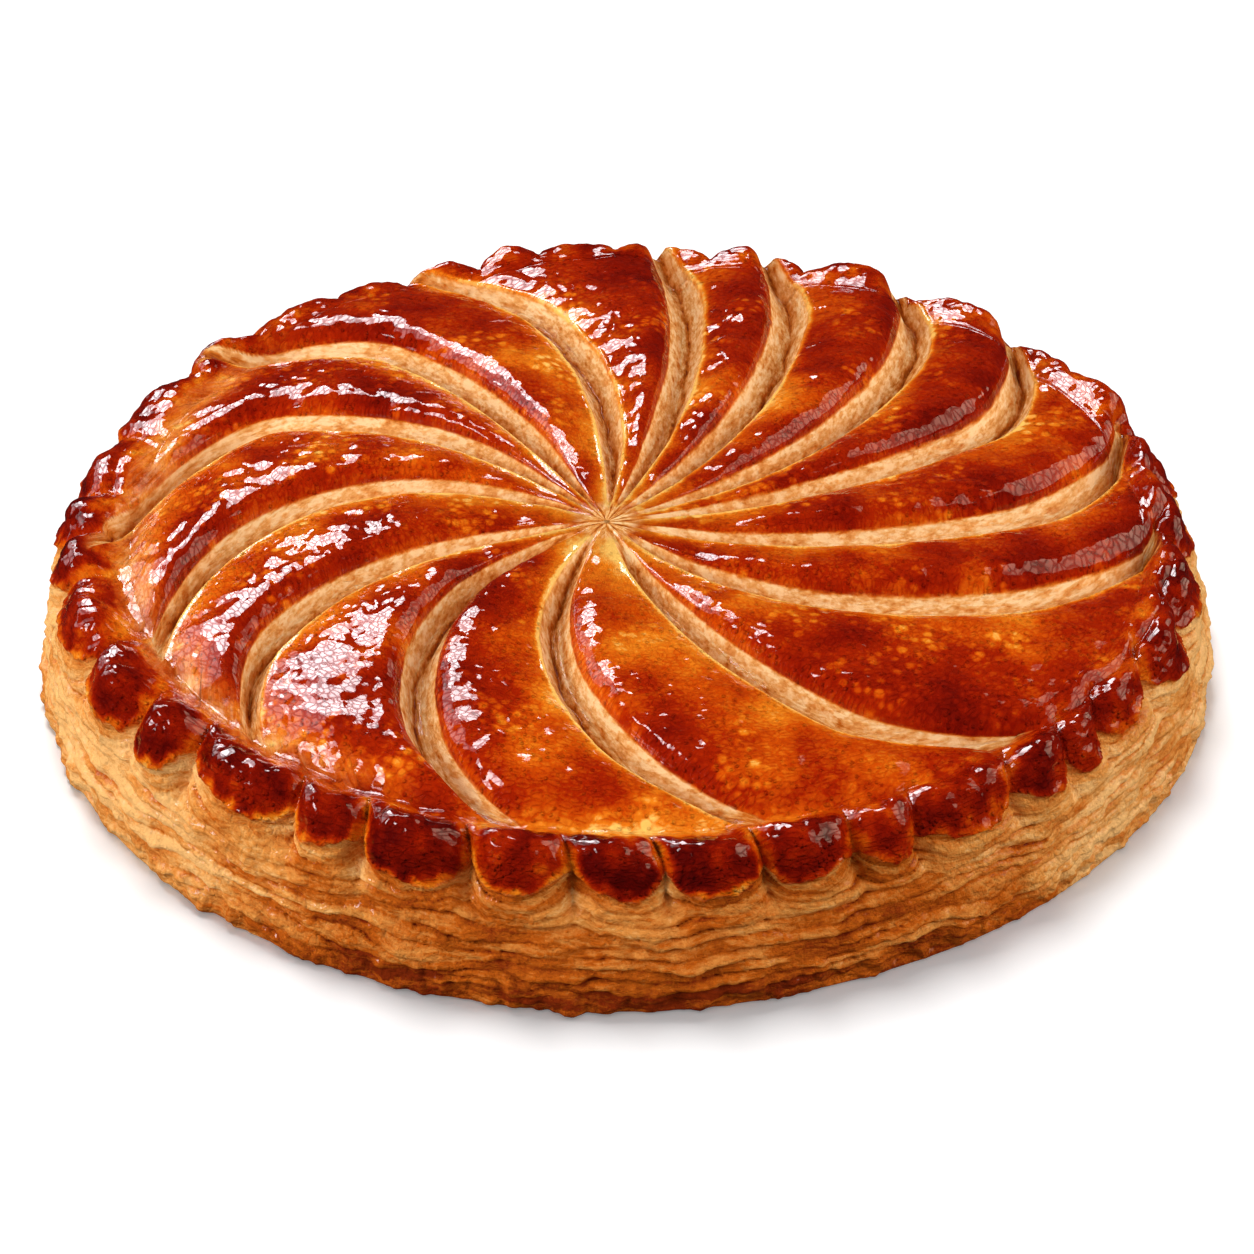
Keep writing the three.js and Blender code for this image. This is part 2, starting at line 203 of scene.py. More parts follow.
def cell_noise(points, seed):
    """Gradient noise, about -1 to 1, at points measured in noise cells."""
    cell = np.floor(points)
    inside = (points - cell).astype(np.float32)
    cell = cell.astype(np.int64)
    fade = inside**3 * (inside * (inside * 6 - 15) + 10)
    total = np.zeros(points.shape[:-1], dtype=np.float32)
    for corner in itertools.product((0, 1), repeat=3):
        key = np.full(points.shape[:-1], seed * HASH_SEED, dtype=np.int64)
        weight = np.ones(points.shape[:-1], dtype=np.float32)
        for axis, step in enumerate(corner):
            key ^= (cell[..., axis] + step) * HASH_STEPS[axis]
            weight *= fade[..., axis] if step else 1 - fade[..., axis]
        key = (key ^ (key >> 13)) * HASH_MIX
        pull = GRADIENTS[(key >> 16) & 15]
        total += weight * np.sum(pull * (inside - np.array(corner, dtype=np.float32)), axis=-1)
    return total * 1.4


def noise(points, size, seed, octaves=1):
    """Noise whose lumps are about size across. Each further octave is half as large and half as deep."""
    total = 0
    for octave in range(octaves):
        total = total + cell_noise(points * (2**octave / size), seed + 17 * octave) / 2**octave
    return total


def jitter(n):
    """The same numbers from -1 to 1 each time for the same whole numbers."""
    s = np.sin(n * 12.9898 + 4.1414) * 43758.5453
    return 2 * (s - np.floor(s)) - 1


# ---- Property groups ----


def length(name, description, millimetres):
    return bpy.props.FloatProperty(name=name, description=description, default=millimetres * MM, unit="LENGTH")


def power(name, description, watts):
    return bpy.props.FloatProperty(name=name, description=description, default=watts, unit="POWER")


def strength(name, description, default):
    return bpy.props.FloatProperty(name=name, description=description, default=default)


def colour(name, description, red, green, blue):
    """A colour property from display values 0 to 255, kept as the scene-linear colour the shaders use."""
    linear = [((c / 255 + 0.055) / 1.055) ** 2.4 if c > 10 else c / 255 / 12.92 for c in (red, green, blue)]
    return bpy.props.FloatVectorProperty(
        name=name, description=description, default=linear, subtype="COLOR", size=3, min=0, max=1
    )


class GaletteShape(bpy.types.PropertyGroup):
    foot_radius: length("Foot radius", "Radius of the flat foot", 130.8)
    dome_height: length("Dome height", "Height of the middle", 40.2)
    groove_width: length("Groove width", "Full width of a groove near the rim", 8.8)
    groove_depth: length("Groove depth", "Depth of a groove below its lips", 5)
    ridge_rise: length("Ridge rise", "How far the pastry swells between grooves", 4.8)
    scallop_depth: length("Scallop depth", "How far a crease cuts in behind a lobe", 5.2)
    lobe_rise: length("Lobe rise", "How much higher a lobe stands than its creases", 4.2)
    layer_relief: length("Layer relief", "How far the side's layers stick out", 1.3)


class GaletteColours(bpy.types.PropertyGroup):
    honey: colour("Honey", "Thinnest glaze, near lips and creases", 255, 198, 100)
    amber: colour("Amber", "Thin glaze", 232, 127, 24)
    russet: colour("Russet", "Well baked glaze", 200, 74, 5)
    mahogany: colour("Mahogany", "Dark glaze on the ridges", 160, 33, 2)
    garnet: colour("Garnet", "Darkest glaze on the ridges", 128, 17, 2)
    burgundy: colour("Burgundy", "Darkest glaze on the rim", 84, 6, 3)
    cream: colour("Cream", "Palest bare pastry", 252, 214, 160)
    straw: colour("Straw", "Bare pastry in the grooves", 234, 170, 98)
    ochre: colour("Ochre", "Bare pastry, well baked", 202, 110, 34)
    crust: colour("Crust", "Bare pastry in the folds and at the foot", 132, 50, 20)
    golden: colour("Golden", "What tints the side against the grooves", 255, 228, 190)
    floor: colour("Floor", "The studio's floor", 248, 248, 248)


class GaletteLights(bpy.types.PropertyGroup):
    key_power: power("Key power", "Soft box high on the left", 5)
    glint_power: power("Glint power", "What the glaze mirrors of a box behind on the left", 26)
    fill_power: power("Fill power", "Large soft box low on the left", 16)
    right_power: power("Right power", "Large weak soft box low on the right", 14)
    back_power: power("Back power", "Weak soft box low at the back, for the side there", 4)
    rim_sheen_power: power("Rim sheen power", "What the rim mirrors of a weak box on the left", 6)
    spark_power: power("Spark power", "What the ridges' steep sides mirror of a small lamp", 4)
    sheen_power: power("Sheen power", "What the glaze mirrors of a weak box behind on the right", 9)
    far_power: power("Far power", "Far soft box behind on the left, for the floor alone", 80)
    above: strength("Above", "Soft light from the room, from above", 0.42)
    below: strength("Below", "Light thrown back up by the floor", 0.12)
    mirrored: strength("Mirrored", "What the dark room shows in gloss", 0.02)


# ---- Shader maths ----


class Wire:
    """A value or colour that varies over the surface. Arithmetic on it adds Math nodes."""

    def __init__(self, shader, socket):
        self.shader = shader
        self.socket = socket

    def _maths(self, operation, *values, clamp=False):
        settings = {"operation": operation, "use_clamp": clamp}
        inputs = dict(enumerate(values))
        return self.shader.node("ShaderNodeMath", settings, inputs, "Value")

    def _operator(operation, reflected=False):
        def apply(self, other):
            return self._maths(operation, *((other, self) if reflected else (self, other)))

        return apply

    __add__ = __radd__ = _operator("ADD")
    __mul__ = __rmul__ = _operator("MULTIPLY")
    __sub__, __rsub__ = _operator("SUBTRACT"), _operator("SUBTRACT", reflected=True)
    __truediv__, __rtruediv__ = _operator("DIVIDE"), _operator("DIVIDE", reflected=True)

    def clamped(self):
        return self._maths("ADD", self, 0, clamp=True)

    def eased(self, low, high):
        """0 below low, 1 above high, and smooth between."""
        settings = {"interpolation_type": "SMOOTHSTEP"}
        values = {"Value": self, "From Min": low, "From Max": high}
        return self.shader.node("ShaderNodeMapRange", settings, values, "Result")


class Shader:
    """The nodes of a material or of the surroundings. Every node comes from the one method, node."""

    def __init__(self, owner):
        owner.use_nodes = True
        self.owner = owner
        self.tree = owner.node_tree
        self.tree.nodes.clear()

    def node(self, kind, settings=None, values=None, output=None):
        """Adds a node: its settings are set first, then its sockets by values or wires. Returns the output named."""
        made = self.tree.nodes.new(kind)
        for setting, value in (settings or {}).items():
            if setting == "stops":
                self._set_stops(made.color_ramp, value)
            else:
                setattr(made, setting, value)
        for name, value in (values or {}).items():
            socket = made.inputs[name]
            if isinstance(value, Wire):
                self.tree.links.new(value.socket, socket)
            else:
                socket.default_value = value
        return None if output is None else Wire(self, made.outputs[output])

    @staticmethod
    def _set_stops(ramp, stops):
        for index, (position, colour) in enumerate(stops):
            stop = ramp.elements[index] if index < 2 else ramp.elements.new(position)
            stop.position = position
            stop.color = (*colour, 1)

    def number(self, name):
        return self.node("ShaderNodeAttribute", {"attribute_name": name}, output="Fac")

    def vector(self, name):
        return self.node("ShaderNodeAttribute", {"attribute_name": name}, output="Vector")

    def position(self):
        return self.node("ShaderNodeTexCoord", output="Object")

    def mottle(self, vector, size, detail=3, roughness=0.5, distortion=0):
        """Noise from 0 to 1 whose lumps are about size metres across."""
        values = {
            "Vector": vector,
            "Scale": 1 / size,
            "Detail": detail,
            "Roughness": roughness,
            "Distortion": distortion,
        }
        return self.node("ShaderNodeTexNoise", None, values, "Fac")

    def cells(self, vector, size, feature):
        """Distance in cells that are about size across, from their points or their edges."""
        values = {"Vector": vector, "Scale": 1 / size}
        return self.node("ShaderNodeTexVoronoi", {"feature": feature}, values, "Distance")

    def leaves(self, vector, scale):
        """A height from 0 to 1 for each of the torn leaves that overlap in a stretched space."""
        values = {"Vector": self.scaled(vector, scale), "Scale": 1}
        return self.node("ShaderNodeTexVoronoi", {"feature": "F1"}, values, "Color")

    def scaled(self, vector, scale):
        return self.node("ShaderNodeVectorMath", {"operation": "MULTIPLY"}, {0: vector, 1: scale}, "Vector")

    def ramp(self, factor, stops, colours):
        """Colours by name, each at its place from 0 to 1."""
        named = [(place, getattr(colours, name)) for place, name in stops]
        return self.node("ShaderNodeValToRGB", {"stops": named}, {"Fac": factor}, "Color")

    def mix(self, factor, low, high, blend="MIX"):
        settings = {"data_type": "RGBA", "blend_type": blend, "clamp_factor": True}
        return self.node("ShaderNodeMix", settings, {"Factor": factor, 6: low, 7: high}, 2)

    def bump(self, height, distance):
        values = {"Height": height, "Distance": distance, "Strength": 1}
        return self.node("ShaderNodeBump", None, values, "Normal")

    def finish(self, values):
        surface = self.node("ShaderNodeBsdfPrincipled", None, values, "BSDF")
        self.node("ShaderNodeOutputMaterial", None, {"Surface": surface})
        return self.owner


# ---- The pastry's form ----


class Pastry:
    """The pastry's surface as a grid: rows from the swirl's middle to the foot, columns round it."""

    def __init__(self, shape):
        self.foot = shape.foot_radius / MM
        self.rim = self.foot - FOOT_OUT
        self.dome_height = shape.dome_height / MM
        self.groove_half = shape.groove_width / MM / 2
        self.groove_depth = shape.groove_depth / MM
        self.ridge_rise = shape.ridge_rise / MM
        self.scallop = shape.scallop_depth / MM
        self.lobe_rise = shape.lobe_rise / MM
        self.layer_relief = shape.layer_relief / MM
        self.lay_out_rows()
        self.lay_out_grooves()
        self.lay_out_columns()
        self.measure_compass()
        self.measure_grooves()
        self.measure_lobes()
        self.shape_plain()
        self.shape_swirl()
        self.shape_side()
        self.place_points()

    # -- The grid --

    def lay_out_rows(self):
        """Each row's share of the rim's radius, and its place in the section outside the valley."""
        dome = np.linspace(FIRST_ROW, DOME_REACH, DOME_ROWS)
        section = self.section_curve(RIM_ROWS)[1:]
        self.across = np.concatenate([np.zeros(DOME_ROWS), section[:, 0]])[:, None]
        self.down = np.concatenate([np.zeros(DOME_ROWS), section[:, 1]])[:, None]
        self.height = np.concatenate([np.full(DOME_ROWS, VALLEY_HEIGHT), section[:, 2]])[:, None]
        self.rho = np.concatenate([dome, DOME_REACH + (1 - DOME_REACH) * section[:, 0]])[:, None]
        self.on_dome = np.arange(len(self.rho))[:, None] < DOME_ROWS

    def section_curve(self, count):
        """Evenly spaced points on a smooth curve through the section's points."""
        points = np.array(SECTION, dtype=float)
        padded = np.vstack([2 * points[0] - points[1], points, 2 * points[-1] - points[-2]])
        t = np.linspace(0, 1, CURVE_STEPS, endpoint=False)[:, None]
        pieces = []
        for a, b, c, d in zip(padded, padded[1:], padded[2:], padded[3:]):
            bend = t**2 * (2 * a - 5 * b + 4 * c - d) + t**3 * (3 * b - a - 3 * c + d)
            pieces.append(0.5 * (2 * b + t * (c - a) + bend))
        curve = np.vstack(pieces + [points[-1:]])
        steps = np.diff(curve, axis=0)
        lengths = np.hypot(steps[:, 0] * RIM_WIDTH + steps[:, 1] * FOOT_OUT, steps[:, 2])
        walked = np.concatenate([[0], np.cumsum(lengths)])
        self.section_length = walked[-1]
        even = np.linspace(0, walked[-1], count)
        return np.column_stack([np.interp(even, walked, curve[:, k]) for k in range(3)])

    def lay_out_grooves(self):
        """For each row, every groove's angle, half width and slope. The first groove comes again a turn later."""
        start, sweep, hook, end = np.array(GROOVES + GROOVES[:1], dtype=float).T
        start[-1] += 360
        rho = self.rho
        self.groove_angle = start + sweep * rho**SWEEP_POWER + hook * ease(HOOK_FROM, 1, rho)
        turning = np.gradient(np.radians(self.groove_angle), axis=0) / np.gradient(rho, axis=0).clip(1e-9)
        turning = np.where(self.down > 0, 0, turning)
        self.groove_slope = np.hypot(1, rho * turning)
        gap = np.radians(np.diff(self.groove_angle, axis=1)) * rho * self.rim
        narrower = np.minimum(np.hstack([gap[:, -1:], gap]), np.hstack([gap, gap[:, :1]]))
        widest = self.groove_half * (1 - np.exp(-rho / GROOVE_WIDENING))
        tapered = widest * (1 - GROOVE_TAPER * ease(end - TAPER_LENGTH, end, rho))
        self.groove_halves = np.minimum(tapered, WIDEST_GROOVE_SHARE * narrower / self.groove_slope)
        self.groove_ends = end

    def lay_out_columns(self):
        """Columns follow the grooves on the dome, closer together in a groove, and are even round the rim."""
        at_valley = self.groove_angle[DOME_ROWS - 1]
        edges = np.round((at_valley - at_valley[0]) / 360 * COLUMNS).astype(int)
        sector = np.repeat(np.arange(len(GROOVES)), np.diff(edges))
        share = (np.arange(COLUMNS) - edges[sector]) / np.diff(edges)[sector]
        start = self.groove_angle[:, sector]
        gap = self.groove_angle[:, sector + 1] - start
        length = np.radians(gap) * self.rho * self.rim
        reach = self.groove_halves * self.groove_slope
        first = reach[:, sector] / length
        last = reach[:, sector + 1] / length
        side = GROOVE_COLUMN_SHARE / 2
        along = (share - side) / (1 - 2 * side)
        along = along - LIP_CROWDING * np.sin(2 * np.pi * along) / (2 * np.pi)
        between = first + (1 - first - last) * along
        across = np.where(share < side, first * share / side, between)
        across = np.where(share > 1 - side, 1 - last * (1 - share) / side, across)
        on_dome = start + gap * across
        even = at_valley[0] + np.arange(COLUMNS) * 360 / COLUMNS
        self.angle = on_dome + (even - on_dome) * ease(EVEN_FROM, 1, self.rho)

    # -- Where each point lies --

    def towards(self, direction, full, none):
        """1 within full degrees of a direction, 0 beyond none degrees of it, and smooth between."""
        facing = np.cos(np.radians(self.angle - direction))
        return ease(math.cos(math.radians(none)), math.cos(math.radians(full)), facing)

    def measure_compass(self):
        turn = np.radians(self.angle)
        self.east, self.north = np.cos(turn), np.sin(turn)
        self.narrow = self.towards(*NARROW_RIM)
        self.back = self.towards(*BACK)
        self.right = self.towards(*RIGHT)
        self.front = self.towards(*FRONT)
        self.flank = 1 - self.towards(*FRONT_SIDE)

    def measure_grooves(self):
        """Each point's distance from the lips of the grooves before and after it, across them."""
        grooves = self.groove_angle
        first = grooves[:, :1]
        turned = (self.angle - first) % 360 + first
        index = np.stack([np.searchsorted(g, t, side="right") - 1 for g, t in zip(grooves, turned)])
        index = np.clip(index, 0, len(GROOVES) - 1)

        def of(values, step):
            return np.take_along_axis(np.broadcast_to(values, grooves.shape), index + step, 1)

        arc = np.radians(1) * self.rho * self.rim
        before = (turned - of(grooves, 0)) * arc / of(self.groove_slope, 0)
        after = (of(grooves, 1) - turned) * arc / of(self.groove_slope, 1)
        self.past_lip = before - of(self.groove_halves, 0)
        self.to_lip = after - of(self.groove_halves, 1)
        self.ridge_share = np.clip(self.past_lip / (self.past_lip + self.to_lip).clip(0.1), 0, 1)
        backward = self.backward = np.isin(index, BACKWARD_RIDGES)
        self.fading = np.where(backward, 1 - self.ridge_share, self.ridge_share)
        self.pale_lip = np.where(backward, self.past_lip, self.to_lip).clip(0)
        self.dark_lip = np.where(backward, self.to_lip, self.past_lip).clip(0)
        nearer_next = after < before
        self.signed = np.where(nearer_next, -after, before)
        self.half = np.where(nearer_next, of(self.groove_halves, 1), of(self.groove_halves, 0))
        self.nearest = (index + nearer_next) % len(GROOVES)
        ends = self.groove_ends
        self.groove_end = np.where(nearer_next, of(ends, 1), of(ends, 0))
        reach = NOSE_REACH + (RIGHT_NOSE_REACH - NOSE_REACH) * self.right
        self.ridge_end = of(ends, 0) + (of(ends, 1) - of(ends, 0)) * self.ridge_share + reach
        self.along = self.rho * self.rim * np.ones_like(self.angle)

    def measure_lobes(self):
        """How full the rim's lobe is at each point, from 0 in a crease, and how the lobes differ."""
        below = np.clip(1 - self.height / CREASE_TOP, 0, 1)
        twist = (RIGHT_TWIST * self.right + FRONT_TWIST * self.front) * (self.across - 0.6)
        creases = np.array(CREASES + (CREASES[0] + 360,), dtype=float)
        turned = (self.angle + twist - CREASE_SLANT * below - creases[0]) % 360 + creases[0]
        index = np.clip(np.searchsorted(creases, turned, side="right") - 1, 0, len(CREASES) - 1)
        share = (turned - creases[index]) / (creases[index + 1] - creases[index])
        arch = np.sin(np.pi * np.clip(share, 0, 1))
        size = 1 + LOBE_VARIATION * jitter(index)
        self.lobe = size * arch**LOBE_SHAPE
        self.swag = size * arch
        width = np.radians(np.diff(creases))[index] * self.rim
        self.from_crease = np.minimum(share, 1 - share) * width
        self.lobe_tone = jitter(index + 50) * ease(0, 3, self.from_crease)
        self.lobe_drop = jitter(index + 90) * ease(0, 4, self.from_crease)
        self.lobe_slant = jitter(index + 120) * (share - 0.5) * ease(0, 4, self.from_crease)

    # -- The form without its fine relief --

    def shape_plain(self):
        """Radius and height of the dome, rim and side, with the rim's lobes."""
        valley = VALLEY_RADIUS + NARROWING * self.narrow
        rim = self.rim + RIM_WIDENING * self.towards(*WIDE)
        foot = self.foot - LEFT_FOOT_LOSS * self.towards(*LEFT)
        foot = foot - FRONT_RIGHT_FOOT_LOSS * self.towards(*FRONT_RIGHT)
        stretch = 1 + (valley / VALLEY_RADIUS - 1) * ease(ROUND_TO, DOME_REACH, self.rho)
        rise = BACK_VALLEY_RISE * self.back + RIGHT_VALLEY_RISE * self.right
        floor = VALLEY_HEIGHT + rise
        fall = (self.dome_height - floor) * (np.minimum(self.rho, DOME_REACH) / DOME_REACH) ** DOME_POWER
        kept = (1 - ease(0, CREASE_REACH, self.down)) ** CREASE_FADING
        kept = kept * (1 - BACK_LOBE_LOSS * self.back) * (1 - RIGHT_LOBE_LOSS * self.right)
        kept = kept * (1 - LEFT_LOBE_LOSS * self.towards(*FAINT_LOBES))
        full = self.lobe + (self.swag - self.lobe) * ease(0, 0.2, self.down)
        lobed = ease(*LOBE_STARTS, self.across) * kept * (full - MEAN_LOBE)
        flared = self.down.clip(0) ** (1 - FLANK_BULGE * self.flank)
        outside = valley + (rim - valley) * self.across + (foot - rim) * flared + self.scallop * lobed
        crest = ease(*RISE_FADES, self.across)
        drop = BACK_CREST_DROP * self.back * (1 - ease(0, 0.3, self.down))
        level = self.height + self.lobe_rise * lobed + rise * (1 - crest) - drop * crest
        self.radius = np.where(self.on_dome, self.rho * stretch * self.rim, outside)
        self.level = np.where(self.on_dome, self.dome_height - fall, level)

    def shape_swirl(self):
        """Height added by the grooves and by the ridges between them."""
        rho = self.rho
        # Grain runs along the grooves: its first coordinate is across them.
        grain = stacked(self.signed, self.along / 12, self.nearest * APART)
        wander = 0.07 * noise(grain * (0.12, 1, 1), 1, seed=3) + 0.035 * noise(grain * (0.3, 5, 1), 1, seed=4)
        lip = self.half * (1 + wander)
        self.inside = np.clip(np.abs(self.signed) / lip, 0, 1)
        self.from_lip = np.abs(self.signed) - lip
        fades = [self.groove_end + share for share in GROOVE_FADES]
        self.groove_open = ease(*GROOVE_STARTS, rho) * (1 - ease(*fades, rho))
        middle = stacked(0, self.along / 9, self.nearest * 5.3)
        self.crack = bell(self.signed + 0.5 - 0.25 * self.half * noise(middle, 1, seed=5), CRACK_WIDTH)
        steps = 0.34 * noise(grain * (1.1, 0.35, 1), 1, seed=6) + 0.18 * noise(grain * (2.6, 0.8, 1), 1, seed=7)
        bed = self.groove_depth * (1 - self.inside**GROOVE_ROUNDNESS) + CRACK_DEPTH * self.crack
        bed = bed - steps * (1 - self.inside**4)
        rounded = np.clip((rho - self.ridge_end) / (NOSE - RIGHT_NOSE_LOSS * self.right) + 1, 0, 1)
        self.nose = (1 - rounded**NOSE_ROUNDNESS).clip(0)
        steep = 1 - np.exp(-self.dark_lip / RIDGE_CLIFF)
        gentle = (1 - np.exp(-self.pale_lip / RIDGE_SLOPE)) * (1 - RIDGE_LEAN * self.fading)
        ridge = self.ridge_rise * steep * gentle * ease(*RIDGE_STARTS, rho) * self.nose
        lip_edge = 0.3 * bell(self.from_lip - 0.4, 0.6) * self.groove_open
        relief = np.where(self.inside < 1, -bed * self.groove_open, ridge + lip_edge)
        relief = relief * (1 - ease(0, 0.35, self.down))
        self.level = self.level + relief + HUB_RISE * bell(rho, HUB_REACH)

    # -- The side's layers --

    def shape_side(self):
        """Glazed cap over the rim, and the layers under it, as a push along the section's normal."""
        z = self.level
        flat = self.flat = stacked(self.radius * self.east, self.radius * self.north, z)
        outside = (self.across >= 0.8) & ~self.on_dome
        edge = CAP_EDGE + 0.8 * self.flank - 4.2 * self.back - 0.6 * self.right
        edge = edge + 1.2 * bell(self.from_crease, 1.6) - 1.6 * (self.swag - MEAN_LOBE)
        edge = edge + 1.1 * self.lobe_drop + 5 * self.lobe_slant
        edge = edge + 1.3 * noise(flat, 7, seed=24) + 0.6 * noise(flat, 2.2, seed=25)
        self.under = edge - z
        self.cap = np.where(outside, ease(0.3, -0.3, self.under), 1)
        bared = 1 - self.cap
        lip = np.exp(-(-self.under).clip(0) / 1.6) * self.cap * outside
        tuck = 0.4 * bell(self.under - 1.3, 1.1) * bared
        layered = bared * ease(0.8, 2, z) * (0.3 + 0.7 * ease(3, 7, z))
        sagging = (3.8 * (self.swag - MEAN_LOBE) + 1.6 * self.lobe_drop) * (1 - 0.6 * self.right)
        q = z + sagging * ease(17, 27, z)
        q = q + 1.5 * noise(flat, 34, seed=26) + 1.2 * noise(flat * (1, 1, 1.4), 12, seed=27)
        q = q + 0.4 * noise(flat, 4, seed=28)
        shelf = 19 + 2.6 * noise(flat, 17, seed=38)
        self.belly = ease(shelf - 0.5, shelf + 0.5, q) * ease(0.1, 0.8, self.lobe) * bared
        self.fold_layers(flat, q, layered)
        foot = ease(8.5, 3.5, z) * ease(0, 1.2, z) * outside
        lumps = 1.2 * noise(flat * (1, 1, 0.7), 9, seed=33, octaves=2) + 0.8 * noise(flat, 3.2, seed=34, octaves=2)
        crease = bell(self.from_crease, 0.8) * ease(0.35, 0.7, self.across) * ease(0.5, 0.1, self.down)
        crumbs = 0.25 * noise(flat * (1, 1, 1.7), 2.6, seed=50, octaves=2) * layered
        self.push = lip - tuck + self.folds + crumbs + 0.9 * self.belly
        self.push = self.push + foot * lumps - crease * (0.25 + 0.25 * self.cap)
        self.sag = 0.45 * self.folds.clip(0)

    def fold_layers(self, flat, q, layered):
        """Puffed folds over the side, with thin sheets in them and gaps that have opened between some of them."""
        x, y = flat[..., 0], flat[..., 1]

        def spread(size, third, seed):
            return noise(stacked(x / size, y / size, third), 1, seed)

        low_layers = LOW_LAYERS_TO / LOW_LAYER_HEIGHT
        count = np.where(q < LOW_LAYERS_TO, q / LOW_LAYER_HEIGHT, low_layers + (q - LOW_LAYERS_TO) / LAYER_HEIGHT)
        count = count + 0.7 * spread(22, q / 7, seed=29)
        layer = np.floor(count)
        share = count - layer
        place = stacked(x / 15, y / 15, layer * 7.31)
        swell = 0.6 + 0.9 * noise(place, 1, seed=30) + 0.4 * noise(place * (4, 4, 1), 1, seed=31)
        swell = np.clip(swell, 0, 1.6) * (1 - 0.55 * self.belly)
        puffed = 2.1 * share**0.4 * (1 - share) ** 0.85 * swell
        sheets = count * SHEETS + 0.8 * spread(9, count * 1.3, seed=35)
        thin = sheets - np.floor(sheets)
        thin_roll = 1.9 * thin**0.35 * (1 - thin) ** 0.7
        raised = 0.5 + 0.5 * spread(8, np.floor(sheets) * 3.3, seed=36)
        opened = ease(0.25, 0.6, spread(13, (layer + 40) * 5.7, seed=37))
        seam = np.exp(-np.minimum(share, 1 - share) / (0.05 + 0.09 * opened))
        folds = self.layer_relief * (puffed - 0.6) + 0.3 * raised * thin_roll - (0.06 + 1.1 * opened) * seam
        # The gap darkens the colour: painted shade in the seams between the folds and under the thin sheets' edges.
        gap = seam * (0.12 + 0.75 * opened) + 0.2 * np.exp(-thin / 0.1) * raised
        self.folds = layered * folds
        self.gap = layered * np.clip(gap, 0, 1)
        # Used to paint the puffed folds lighter: painted light.
        self.bulge_painted_light = layered * puffed
        self.layer_tone = spread(18, layer * 3.7, seed=32)
        self.strata = count

    # -- Points --

    def place_points(self):
        """Turns radius, height and push into points, with the pastry's lumps along the surface's normal."""
        flat = self.flat
        lumps = 0.5 * noise(flat, 11, seed=8) + 0.3 * noise(flat, 4.4, seed=9) + 0.1 * noise(flat, 1.8, seed=10)
        lumps = lumps * (1 + 0.7 * ease(0.2, 0.6, self.across) * self.cap)
        in_groove = self.groove_open * ease(1.5, 0, self.from_lip) * (self.down == 0)
        near_middle = np.where(self.on_dome, ease(0.02, 0.2, self.rho), 1)
        lumps = lumps * (1 - in_groove) * near_middle * ease(0, 3, self.level)
        rise = np.gradient(self.height[:, 0])
        run = np.gradient(self.across[:, 0] * RIM_WIDTH + self.down[:, 0] * FOOT_OUT)
        steep = np.hypot(rise, run) + 1e-9
        outwards = np.where(self.on_dome[:, 0], 0, -rise / steep)[:, None]
        upwards = np.where(self.on_dome[:, 0], 1, run / steep)[:, None]
        push = self.push + lumps
        radius = self.radius + push * outwards
        level = np.clip(self.level + push * upwards - self.sag, 0, None)
        level[-1] = 0
        pull = np.where(self.on_dome, 1 - self.rho / DOME_REACH, 0)
        x = SWIRL_MIDDLE[0] * pull + radius * self.east
        y = SWIRL_MIDDLE[1] * pull + radius * self.north
        self.points = stacked(x, y, level)

    # -- Colour guides --
    # A tone is how dark a place is painted: mostly how baked it is, and in places painted shade and painted light; 0
    # the palest of its glaze or its bare pastry, 1 about the darkest.

    def ridge_tone(self, dimmer):
        """The glaze of the ridges: dark at the crest, paler down the gentle side and towards the middle. The fade
        across a ridge is partly the glaze's own and partly painted shade: at the left and right the dark side is the
        one turned to the front, away from the light behind on the left. Paler towards the middle is partly painted
        light.
        """
        # Painted shade in part: the fade darkens each ridge's side that is turned from the light and pales the side
        # turned to it.
        fade_and_painted_shade = (0.3 + 0.08 * self.backward) * self.fading**1.5
        tone = 0.77 + 0.03 * dimmer + 0.22 * noise(self.points, 24, seed=41, octaves=2) - fade_and_painted_shade
        tone = tone - (0.22 - 0.1 * dimmer) * np.exp(-self.pale_lip / 4) + 0.05 * np.exp(-self.dark_lip / 2)
        # Paler towards the middle: the hub's own thin glaze, with painted light that offsets the shade of the hollow
        # round it.
        tone = tone - 0.5 * (1 - ease(0.02, 0.2, self.rho))
        tone = tone + 0.08 * self.nose * ease(0.5, 0.8, self.rho)
        return tone - 0.18 * self.towards(*PALE_RIDGE) + 0.03 * self.towards(*DARK_RIDGE)

    def rim_tone(self, darker):
        """The glaze of the rim: dark on its lobes, down to the cap's edge, and paler in the creases."""
        points = self.points
        dark = ease(0.22, 0.62, self.across + 0.5 * self.lobe_slant + 0.2 * noise(points, 8, seed=45))
        beside = ease(0.7, 3.2, self.from_crease + 0.9 * noise(points, 4, seed=49))
        dark = dark * (beside + (1 - beside) * 0.3 * self.flank) * (1 - 0.8 * self.back)
        dark = dark * ease(0.1, 2.9, -self.under + 1.2 * noise(points, 4, seed=51, octaves=2))
        tone = 0.42 + 0.2 * darker + (0.57 - 0.3 * darker + 0.14 * self.lobe_tone) * dark
        return tone + 0.26 * noise(points, 6, seed=42, octaves=2)

    def bed_tone(self):
        """The bare pastry of the grooves: darker towards the bottom and along the crack, which is painted shade,
        darker at the lips, and palest at the pastry's middle, partly painted light there.
        """
        # Painted shade: darker towards the groove's bottom and along its crack.
        tone = 0.17 + 0.2 * (1 - self.inside) + 0.42 * self.crack + 0.3 * (1 - self.groove_open)
        # Paler at the pastry's middle, partly painted light that offsets the shade where the grooves meet.
        return tone + 0.3 * ease(0.9, 1, self.inside) - 0.36 * (1 - ease(0.06, 0.2, self.rho))

